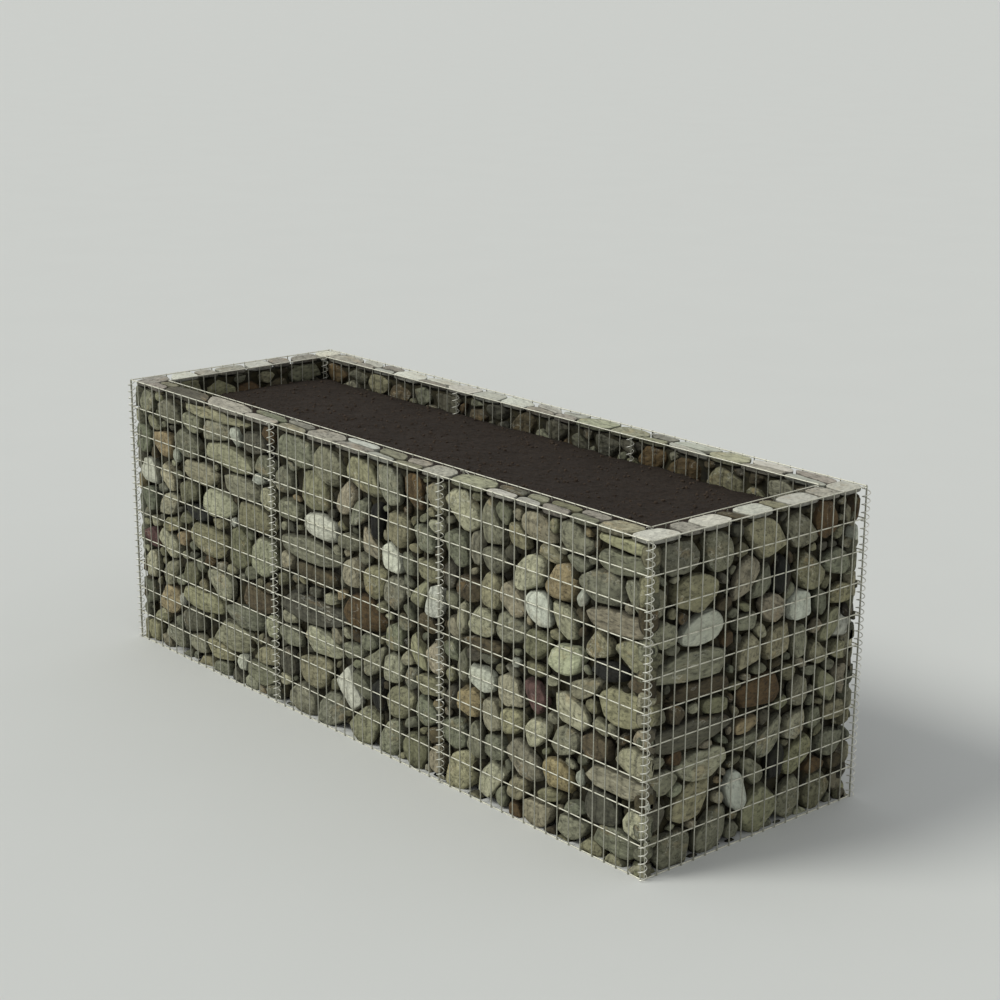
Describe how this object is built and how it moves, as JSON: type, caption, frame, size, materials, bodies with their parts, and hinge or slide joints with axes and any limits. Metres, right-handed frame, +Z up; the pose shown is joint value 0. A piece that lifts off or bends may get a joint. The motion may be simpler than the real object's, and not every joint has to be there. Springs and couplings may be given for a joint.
{
  "type": "gabion planter",
  "caption": "Long raised planting bed of welded wire mesh with a stone-filled double wall, laced at corners and joints by wire spirals and filled with soil.",
  "frame": {"origin": "middle of the footprint, on the ground", "axes": "+X along the long side, -Y out of the front long side, +Z up"},
  "size_m": [2.7452, 0.9366, 1.004],
  "materials": {
    "mesh_wire": "dull hot-dip galvanised wire, weathered",
    "spiral_wire": "dull galvanised wire, weathered",
    "field_stone": "rough, dusty rounded field stone, mixed greys and browns",
    "soil": "dark crumbly planting soil"
  },
  "bodies": {
    "root": {"back_left_corner_spiral": "spiral_wire", "back_left_joint_spiral": "spiral_wire", "back_left_panel": "mesh_wire", "back_middle_panel": "mesh_wire", "back_right_corner_spiral": "spiral_wire", "back_right_joint_spiral": "spiral_wire", "back_right_panel": "mesh_wire", "back_stone_fill": "field_stone", "front_left_corner_spiral": "spiral_wire", "front_left_joint_spiral": "spiral_wire", "front_left_panel": "mesh_wire", "front_middle_panel": "mesh_wire", "front_right_corner_spiral": "spiral_wire", "front_right_joint_spiral": "spiral_wire", "front_right_panel": "mesh_wire", "front_stone_fill": "field_stone", "inner_back_left_corner_spiral": "spiral_wire", "inner_back_left_joint_spiral": "spiral_wire", "inner_back_left_panel": "mesh_wire", "inner_back_middle_panel": "mesh_wire", "inner_back_right_corner_spiral": "spiral_wire", "inner_back_right_joint_spiral": "spiral_wire", "inner_back_right_panel": "mesh_wire", "inner_front_left_corner_spiral": "spiral_wire", "inner_front_left_joint_spiral": "spiral_wire", "inner_front_left_panel": "mesh_wire", "inner_front_middle_panel": "mesh_wire", "inner_front_right_corner_spiral": "spiral_wire", "inner_front_right_joint_spiral": "spiral_wire", "inner_front_right_panel": "mesh_wire", "inner_left_end_panel": "mesh_wire", "inner_right_end_panel": "mesh_wire", "left_end_panel": "mesh_wire", "left_stone_fill": "field_stone", "planting_soil": "soil", "right_end_panel": "mesh_wire", "right_stone_fill": "field_stone"}
  },
  "joints": []
}
